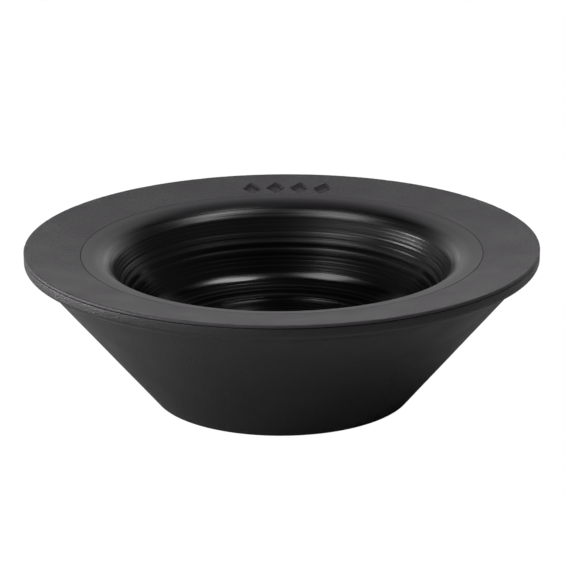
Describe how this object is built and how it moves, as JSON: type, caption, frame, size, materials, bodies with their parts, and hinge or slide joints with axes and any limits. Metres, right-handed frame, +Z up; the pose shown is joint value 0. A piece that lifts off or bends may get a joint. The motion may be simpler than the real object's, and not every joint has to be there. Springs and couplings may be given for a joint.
{
  "type": "hair color bowl",
  "caption": "Shallow conical bowl with a broad dished rim and a small turned hollow for mixing hair colour; double-walled, free-standing on a soft foot ring.",
  "frame": {"origin": "centre of the face that the foot ring stands on", "axes": "+Z up through the mouth, along the axis of revolution; +Y towards the small sunk mark on the rim deck; -Y is the front"},
  "size_m": [0.18, 0.18, 0.0553],
  "materials": {
    "shell_plastic": "black, fine moulded grain, matte",
    "deck_plastic": "black, fine moulded grain, matte",
    "liner_plastic": "black, turned; satin above and glossy in the lower hollow",
    "seal_rubber": "dark grey silicone, matte",
    "foot_rubber": "black soft rubber, matte"
  },
  "bodies": {
    "root": {"outer_shell": "shell_plastic", "rim_deck": "deck_plastic", "bowl_liner": "liner_plastic", "liner_seal": "seal_rubber", "foot_ring": "foot_rubber"}
  },
  "joints": []
}
